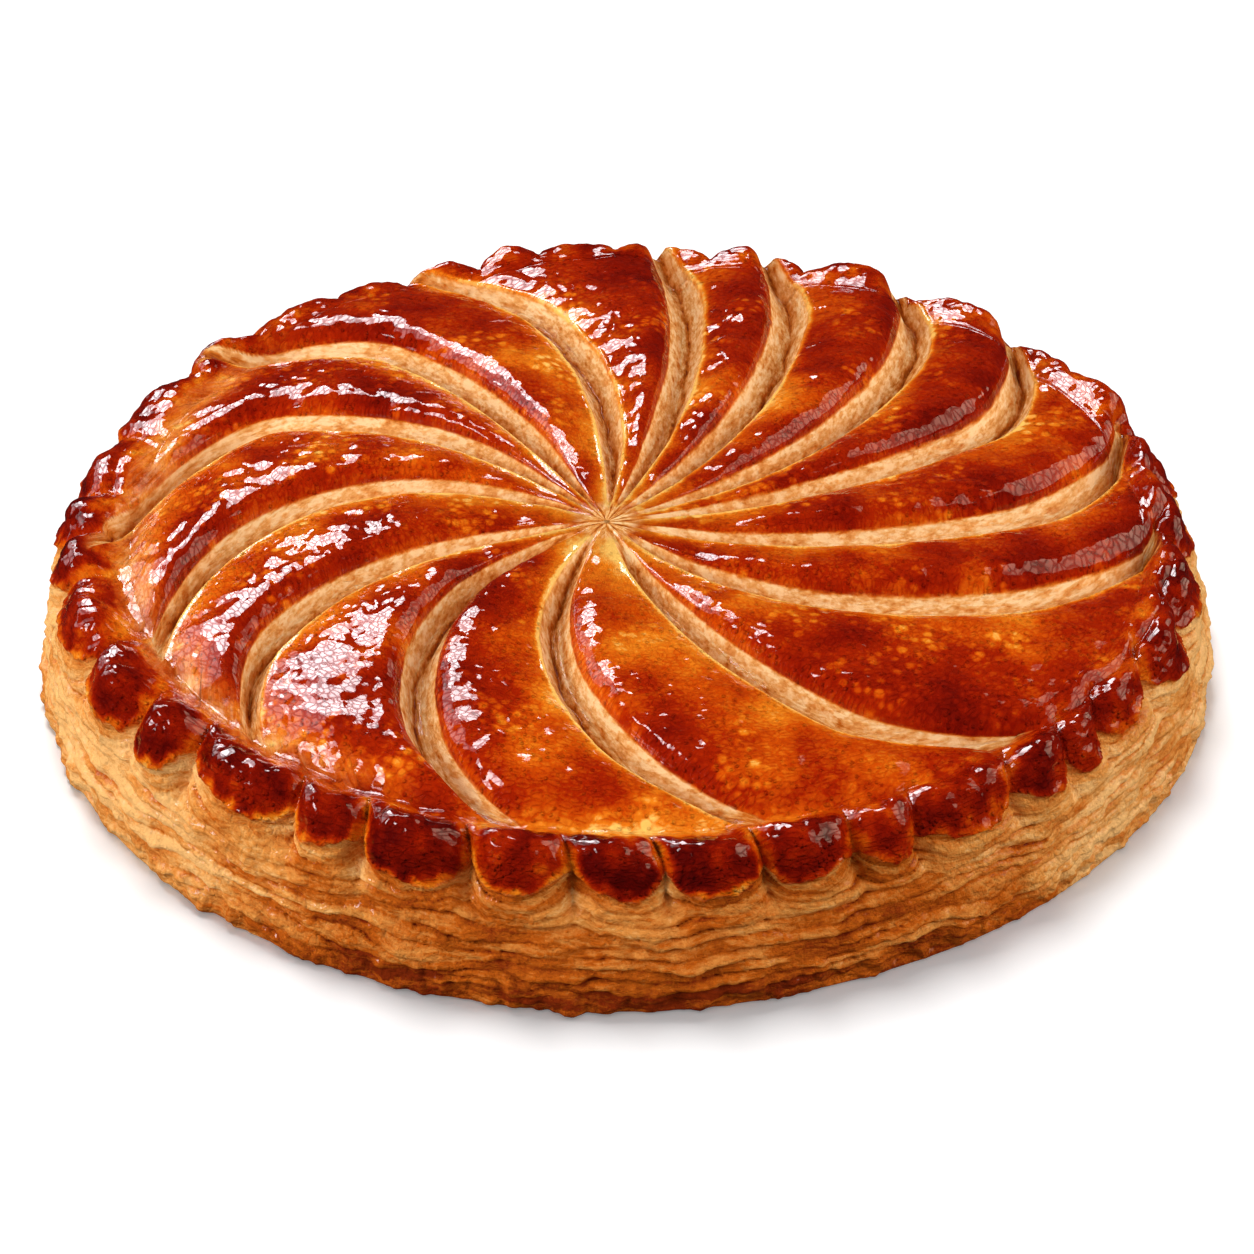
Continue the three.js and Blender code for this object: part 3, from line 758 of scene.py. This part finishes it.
    def side_tone(self, low):
        """The bare pastry of the side. Painted shade darkens the front, which is turned from the light, the band
        just under the cap's edge and the gaps between the layers; painted light pales the flanks and the puffed
        folds. It is also darker towards the foot, partly its browner crust and partly painted shade.
        """
        # Painted shade and light: darker at the front and paler at the flanks, and darker just under the cap's edge.
        tone = 0.51 - 0.34 * self.flank + 0.13 * np.exp(-self.under.clip(0) / 4) * (0.4 + 0.6 * self.belly)
        # Darker towards the foot, partly its browner crust and partly painted shade by the floor; darker low down at
        # the front as painted shade.
        tone = tone + 0.2 * low * (1 - 0.4 * self.flank) + 0.22 * ease(22, 9, self.level) * (1 - self.flank)
        # Painted light on the puffed folds and painted shade in the gaps between them; the layer tone is the layers'
        # own.
        tone = tone + 0.3 * self.layer_tone - 0.2 * self.bulge_painted_light + 0.6 * self.gap
        return tone + 0.14 * noise(self.points, 22, seed=46)

    def guides(self):
        """Numbers at each point that steer the shader, most of them from 0 to 1."""
        points = self.points
        dimmer = 0.5 + 0.5 * np.cos(np.radians(self.angle) + 0.35)
        darker = np.maximum(self.narrow, self.towards(*DARK_RIM))
        valley = 0.22 + 0.4 * darker + 0.6 * self.towards(*DARK_VALLEY)
        valley = valley + 0.16 * noise(points, 9, seed=43, octaves=2)
        top = valley + (self.ridge_tone(dimmer) - valley) * self.nose**0.4
        rim = top + (self.rim_tone(darker) - top) * ease(0, 0.4, self.across)
        glazed = np.where(self.on_dome, top, rim)
        # Share near the foot: it darkens the side, partly its browner crust and partly painted shade by the floor.
        low = ease(9.5, 3.5, self.level + 1.5 * noise(points, 9, seed=47))
        groove = (1 - ease(0.93, 1, self.inside)) * ease(0.02, 0.25, self.groove_open)
        groove = np.maximum(groove, 1 - ease(0.03, 0.07, self.rho))
        bare = np.maximum(groove * (self.down < 0.01), 1 - self.cap)
        brown = glazed + (np.where(self.cap < 0.5, self.side_tone(low), self.bed_tone()) - glazed) * bare
        flow = bell(self.rho - 0.88, 0.035) * self.towards(*GLAZE_FLOW) * (self.across < 0.3)
        brown = brown + (0.36 + 0.3 * noise(points, 5, seed=48) - brown) * flow
        lip = bell(self.from_lip - 0.2, 0.7) * self.groove_open
        return {
            "brown": np.clip(brown, 0, DARKEST_GLAZE),
            "crumb": np.maximum(bare, 0.35 * flow),
            "side": 1 - self.cap,
            "low": low * (1 - self.cap),
            "rim": ease(0.1, 0.4, self.across) * np.ones_like(self.cap),
            "lip": lip * np.where(self.dark_lip < self.pale_lip, 0.3, 1),
        }

    def grain(self):
        """Coordinates for fine streaks, in millimetres: drawn out along the grooves and round the side."""
        on_dome = stacked(self.signed * 0.65, self.along / 6, self.nearest * APART)
        on_side = stacked(self.points[..., 0] / 9, self.points[..., 1] / 9, self.strata * 2)
        return np.where((self.across < 0.9)[..., None], on_dome, on_side)

    def skin(self):
        """Coordinates of the glaze, in millimetres: round the pastry, and out from its middle."""
        rows = np.arange(len(self.rho))[:, None]
        outside = DOME_REACH * self.rim + (rows - DOME_ROWS) * self.section_length / RIM_ROWS
        walked = np.where(self.on_dome, self.rho * self.rim, outside)
        return stacked(SKIN_RADIUS * self.east, SKIN_RADIUS * self.north, walked)


# ---- Meshes ----

ATLAS = 352  # millimetres of surface across the bake's square
STRIP = 50  # height of one strip of rim and side in it
STRIPS = 3
FLAT_ROWS = 45  # rows outside the valley that are still laid flat with the dome
DOME_MARGIN = 3
STRIP_MARGIN = 2
LYING_STRIP_SCALE = 0.9  # so that the last strip fits beside the others


def grid_faces(rows, columns):
    """Corners of the quads between the rows, in turn so that they face out, and of the fans at both ends."""
    i, j = np.meshgrid(np.arange(rows - 1), np.arange(columns), indexing="ij")
    k = (j + 1) % columns
    quads = np.stack([i * columns + j, (i + 1) * columns + j, (i + 1) * columns + k, i * columns + k], axis=-1)
    ring = np.arange(columns)
    after = (ring + 1) % columns
    top = np.stack([np.full(columns, rows * columns), ring, after], axis=-1)
    last = (rows - 1) * columns
    bottom = np.stack([np.full(columns, rows * columns + 1), last + after, last + ring], axis=-1)
    return quads.reshape(-1, 4), top, bottom


def make_mesh(name, points, faces):
    """A smooth-shaded object from metre points and arrays of faces, and the faces' corners in one row."""
    mesh = bpy.data.meshes.new(name)
    corners = np.concatenate([f.reshape(-1) for f in faces]).astype(np.int32)
    sizes = np.concatenate([np.full(len(f), f.shape[1]) for f in faces]).astype(np.int32)
    mesh.vertices.add(len(points))
    mesh.vertices.foreach_set("co", points.astype(np.float32).ravel())
    mesh.loops.add(len(corners))
    mesh.loops.foreach_set("vertex_index", corners)
    mesh.polygons.add(len(sizes))
    starts = np.concatenate([[0], np.cumsum(sizes)[:-1]]).astype(np.int32)
    mesh.polygons.foreach_set("loop_start", starts)
    mesh.polygons.foreach_set("loop_total", sizes)
    mesh.polygons.foreach_set("use_smooth", np.ones(len(sizes), dtype=bool))
    mesh.update(calc_edges=True)
    mesh.validate()
    return add_object(name, mesh), corners


def add_object(name, data):
    made = bpy.data.objects.new(name, data)
    bpy.context.scene.collection.objects.link(made)
    return made


def add_attribute(made, name, values, kind, field):
    attribute = made.data.attributes.new(name, kind, "POINT")
    attribute.data.foreach_set(field, values.astype(np.float32).ravel())


def bake_layout(pastry, points, corners, rows):
    """Each face corner's place in the bake's square: the dome as seen from above, rim and side as strips."""
    uv = points[corners][:, :2] / MM + pastry.rim + DOME_MARGIN
    quads = (rows - 1) * COLUMNS * 4
    row = np.repeat(np.arange(rows - 1), COLUMNS * 4)
    column = np.tile(np.repeat(np.arange(COLUMNS), 4), rows - 1)
    corner = np.tile(np.arange(4), (rows - 1) * COLUMNS)
    at_row = row + np.isin(corner, (1, 2))
    at_column = column + np.isin(corner, (2, 3))
    per_strip = math.ceil(COLUMNS / STRIPS)
    strip = column // per_strip
    walked = (at_column - strip * per_strip) * (2 * math.pi * pastry.rim / COLUMNS)
    first = DOME_ROWS + FLAT_ROWS
    down = (at_row - first) * (pastry.section_length / RIM_ROWS) + STRIP_MARGIN
    upright = stacked(ATLAS - (strip + 1) * STRIP + down, walked + STRIP_MARGIN)
    lying = stacked(walked * LYING_STRIP_SCALE + STRIP_MARGIN, ATLAS - STRIP + down)
    strips = np.where((strip == STRIPS - 1)[:, None], lying, upright)
    on_side = row >= first
    uv[:quads][on_side] = strips[on_side]
    return uv / ATLAS


def make_pastry(shape, colours):
    pastry = Pastry(shape)
    rows = len(pastry.rho)
    points = pastry.points.reshape(-1, 3)
    middle = [*SWIRL_MIDDLE, pastry.points[0, :, 2].mean()]
    points = np.vstack([points, [middle, [0, 0, 0]]]) * MM
    made, corners = make_mesh("pastry", points, grid_faces(rows, COLUMNS))
    for name, values in pastry.guides().items():
        ends = values[0, :1], values[-1, :1]
        add_attribute(made, name, np.concatenate([values.ravel(), *ends]), "FLOAT", "value")
    for name, values in (("grain", pastry.grain()), ("skin", pastry.skin())):
        flat = values.reshape(-1, 3)
        add_attribute(made, name, np.vstack([flat, flat[:1], flat[-1:]]), "FLOAT_VECTOR", "vector")
    layer = made.data.uv_layers.new(name="OFBake")
    layer.data.foreach_set("uv", bake_layout(pastry, points, corners, rows).astype(np.float32).ravel())
    made.data.materials.append(pastry_material(colours))
    return made


# ---- The pastry's material ----

DARKEST_GLAZE = 1.3  # the tone at the end of the glaze's colours
GLAZE = ((0, "honey"), (0.2, "amber"), (0.4, "russet"), (0.58, "mahogany"), (0.76, "garnet"), (1, "burgundy"))
BARE = ((0.06, "cream"), (0.3, "straw"), (0.62, "ochre"), (1, "crust"))
RELIEF = 0.8 * MM
GLAZE_ROUGHNESS = 0.34  # under its clear coat
BARE_ROUGHNESS_GAIN = 0.3
COAT_ROUGHNESS = 0.05


def crackle(shader, skin):
    """0 in the hair lines that part the glaze into crooked scales, 1 on the scales."""
    scales = shader.scaled(skin, (1 / 1.8, 1 / 1.8, 1 / 1.2))
    warp = shader.node("ShaderNodeTexNoise", None, {"Vector": skin, "Scale": 1 / 3, "Detail": 1}, "Color")
    added = {0: warp, 1: (1.3,) * 3, 2: scales}
    bent = shader.node("ShaderNodeVectorMath", {"operation": "MULTIPLY_ADD"}, added, "Vector")
    return shader.cells(bent, 1, "DISTANCE_TO_EDGE").eased(0.02, 0.22)


def pastry_material(colours):
    """Egg-glazed crust where it was brushed, bare layered crumb where it was cut and at the side."""
    shader = Shader(bpy.data.materials.new("glazed_puff_pastry"))
    place = shader.position()
    grain = shader.vector("grain")
    brown, crumb, lip, side, rim, low = map(shader.number, ("brown", "crumb", "lip", "side", "rim", "low"))
    cells = crackle(shader, shader.vector("skin"))
    flecks = shader.mottle(place, 1.1 * MM, 3, 0.65) - 0.5

    blotches = shader.mottle(place, 13 * MM, 4, 0.6, 0.1) - 0.5
    clusters = shader.mottle(place, 17 * MM, 2).eased(0.48, 0.66)
    spots = (1 - shader.cells(place, 2.9 * MM, "F1")).eased(0.45, 0.8) * clusters * (1 - rim)
    glaze_tone = brown + blotches + flecks * 0.38 - lip * 0.4 - spots * 0.34 + (1 - cells) * 0.08
    glaze = shader.ramp(glaze_tone / DARKEST_GLAZE, GLAZE, colours)

    streaks = shader.mottle(grain, 0.9, 3, 0.65) - 0.5
    fine_streaks = shader.mottle(grain, 0.35, 2, 0.6) - 0.5
    leaves = shader.leaves(grain, (2.2, 2.2, 1.9))
    thin_leaves = shader.leaves(grain, (5, 5, 4.4))
    crumbs = (shader.mottle(shader.scaled(place, (1, 1, 2.4)), 2.6 * MM, 4, 0.7, 0.3) - 0.5) * side
    leafy = ((leaves - 0.5) * 0.24 + (thin_leaves - 0.5) * 0.2) * (1 - side * 0.35)
    streaky = (streaks + fine_streaks * 0.9) * (1 - side * 0.8)
    bare = shader.ramp(brown + streaky + crumbs * 0.6 + flecks * 0.4 + leafy, BARE, colours)
    bare = shader.mix(side, bare, shader.mix(1, bare, (*colours.golden, 1), "MULTIPLY"))

    ripple = shader.mottle(place, 4 * MM, 2, 0.5, 0.5)
    crinkle = shader.mottle(place, 0.7 * MM, 2, 0.6, 0.5) * (rim * 0.45 + 0.12)
    beads = (1 - shader.cells(place, 1.5 * MM, "F1")).eased(0.6, 0.95)
    beads = beads * shader.mottle(place, 5 * MM, 2).eased(0.4, 0.5)
    glaze_relief = ripple * 0.2 + cells * 0.2 + crinkle + beads * 0.8
    lines = (streaks * 0.8 + fine_streaks * 0.6) * (1 - side * 0.8)
    bare_relief = lines + flecks * (side * 0.9 + 0.3) + crumbs * 0.8
    bare_relief = bare_relief + (leaves * 0.45 + thin_leaves * 0.3) * (1 - side * 0.3)

    glazing = 0.95 - crumb * (0.65 - side * 0.15 - low * 0.25)
    return shader.finish(
        {
            "Base Color": shader.mix(crumb, glaze, bare),
            "Roughness": (GLAZE_ROUGHNESS + crumb * BARE_ROUGHNESS_GAIN + flecks * 0.2).clamped(),
            "Normal": shader.bump(shader.mix(crumb, glaze_relief, bare_relief), RELIEF),
            "Specular IOR Level": 0,
            "Coat Weight": glazing * (cells * 0.7 + 0.3),
            "Coat Roughness": COAT_ROUGHNESS,
        }
    )


# ---- The studio ----

CAMERA_TILT = 34.264  # degrees that the camera looks down
CAMERA_PLACE = (0.000614, -0.914887, 0.629829)
CAMERA_LENS = 141.5
CAMERA_SENSOR = 36
CAMERA_CLIP = (0.05, 50)
FLOOR_RADIUS = 6
LIGHTS_AIM = (0, 0, 0.03)

WHITE, COOL, WARM, PURE = (1, 0.99, 0.97), (0.95, 0.92, 0.95), (1, 0.8, 0.6), (1, 1, 1)
# Each soft box: its name, its width and place in metres, its colour, what it lights, and what that shows of it.
SOFT_BOXES = (
    ("key", 0.5, (-0.5, 0.45, 1.1), WHITE, "pastry", "soft light"),
    ("glint", 0.68, (-0.5, 0.85, 0.85), COOL, "pastry", "mirror image"),
    ("fill", 0.9, (-1.15, -0.5, 0.5), WHITE, "pastry", "soft light"),
    ("right", 0.9, (1.2, -0.4, 0.7), WHITE, "pastry", "soft light"),
    ("rim_sheen", 0.8, (-0.87, 0.61, 0.56), COOL, "pastry", "mirror image"),
    ("spark", 0.26, (-0.95, -0.2, 0.75), COOL, "pastry", "mirror image"),
    ("sheen", 1, (0.95, 0.3, 0.6), WARM, "pastry", "mirror image"),
    ("back", 0.9, (0.2, 1.2, 0.25), WHITE, "pastry", "soft light"),
    ("far", 1.3, (-0.35, 1.2, 2.8), PURE, "floor", "soft light"),
)


def make_floor(colours):
    bpy.ops.mesh.primitive_circle_add(vertices=128, radius=FLOOR_RADIUS, fill_type="NGON")
    floor = bpy.context.object
    floor.name = "floor"
    floor.visible_glossy = False
    floor.visible_diffuse = False
    shader = Shader(bpy.data.materials.new("white_floor"))
    floor.data.materials.append(
        shader.finish(
            {
                "Base Color": (*colours.floor, 1),
                "Roughness": 0.9,
                "Specular IOR Level": 0,
                "Emission Color": (1, 1, 1, 1),
                "Emission Strength": 0.14,
            }
        )
    )


def only(name):
    """A collection with one object, for the lights that light nothing else."""
    if name not in bpy.data.objects:
        raise RuntimeError(f"the studio lights the {name}, so that is made first")
    if name not in bpy.data.collections:
        bpy.data.collections.new(name).objects.link(bpy.data.objects[name])
    return bpy.data.collections[name]


def make_light(name, power, width, place, colour, lit, shows):
    """A soft box aimed at the pastry, that gives one object either soft light or its own mirror image."""
    data = bpy.data.lights.new(name, "AREA")
    data.shape = "SQUARE"
    data.size = width
    data.energy = power
    data.color = colour
    light = add_object(name, data)
    light.location = place
    light.visible_glossy = shows == "mirror image"
    light.visible_diffuse = shows == "soft light"
    light.light_linking.receiver_collection = only(lit)
    aim = np.array(LIGHTS_AIM) - np.array(place)
    flat = math.hypot(aim[0], aim[1])
    light.rotation_euler = (math.atan2(flat, -aim[2]), 0, math.atan2(aim[1], aim[0]) - math.pi / 2)


def make_camera():
    data = bpy.data.cameras.new("camera")
    data.lens = CAMERA_LENS
    data.sensor_width = CAMERA_SENSOR
    data.clip_start, data.clip_end = CAMERA_CLIP
    camera = add_object("camera", data)
    camera.location = CAMERA_PLACE
    camera.rotation_euler = (math.radians(90 - CAMERA_TILT), 0, 0)
    bpy.context.scene.camera = camera


def make_surroundings(lights):
    """A white backdrop where it is looked at. The pastry is lit softly from it and mirrors a dark room."""
    world = bpy.data.worlds.new("plain_surroundings")
    bpy.context.scene.world = world
    surroundings = Shader(world)
    glossy, camera = (
        surroundings.node("ShaderNodeLightPath", output=ray) for ray in ("Is Glossy Ray", "Is Camera Ray")
    )
    direction = surroundings.node("ShaderNodeTexCoord", output="Generated")
    height = surroundings.node("ShaderNodeSeparateXYZ", None, {"Vector": direction}, "Z")
    soft = lights.below + (lights.above - lights.below) * height.eased(-0.1, 0.1)
    unseen = soft * (1 - glossy) + lights.mirrored * glossy
    strength = unseen + (1 - unseen) * camera
    values = {"Color": (1, 1, 1, 1), "Strength": strength}
    background = surroundings.node("ShaderNodeBackground", None, values, "Background")
    surroundings.node("ShaderNodeOutputWorld", None, {"Surface": background})


# ---- Operators ----


class GALETTE_OT_pastry(bpy.types.Operator):
    """Make the glazed pastry that stands for the solid"""

    bl_idname = "galette.pastry"
    bl_label = "Pastry"

    def execute(self, context):
        made = make_pastry(context.scene.galette_shape, context.scene.galette_colours)
        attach(made, "root")
        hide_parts("galette")
        return {"FINISHED"}


class GALETTE_OT_studio(bpy.types.Operator):
    """Make the floor, the lights and the camera"""

    bl_idname = "galette.studio"
    bl_label = "Studio"

    def execute(self, context):
        lights = context.scene.galette_lights
        make_floor(context.scene.galette_colours)
        make_surroundings(lights)
        for name, *box in SOFT_BOXES:
            make_light(name, getattr(lights, f"{name}_power"), *box)
        make_camera()
        context.scene.view_settings.view_transform = "Standard"
        context.scene.view_settings.look = "None"
        return {"FINISHED"}


class GALETTE_PT_sidebar(bpy.types.Panel):
    bl_idname = "GALETTE_PT_sidebar"
    bl_label = "Galette des rois"
    bl_space_type = "VIEW_3D"
    bl_region_type = "UI"
    bl_category = "Galette"

    def draw(self, context):
        layout = self.layout
        for operator in OPERATORS:
            layout.operator(operator.bl_idname)
        for group in (context.scene.galette_shape, context.scene.galette_colours, context.scene.galette_lights):
            for name in group.__annotations__:
                layout.prop(group, name)


GROUPS = {
    "galette_shape": GaletteShape,
    "galette_colours": GaletteColours,
    "galette_lights": GaletteLights,
}
OPERATORS = (GALETTE_OT_pastry, GALETTE_OT_studio)


def register():
    for cls in (*GROUPS.values(), *OPERATORS, GALETTE_PT_sidebar):
        bpy.utils.register_class(cls)
    for name, group in GROUPS.items():
        setattr(bpy.types.Scene, name, bpy.props.PointerProperty(type=group))


def unregister():
    for name in GROUPS:
        delattr(bpy.types.Scene, name)
    for cls in (GALETTE_PT_sidebar, *reversed(OPERATORS), *reversed(list(GROUPS.values()))):
        bpy.utils.unregister_class(cls)


def main():
    register()
    bpy.ops.galette.pastry()
    bpy.ops.galette.studio()


if __name__ == "__main__":
    main()
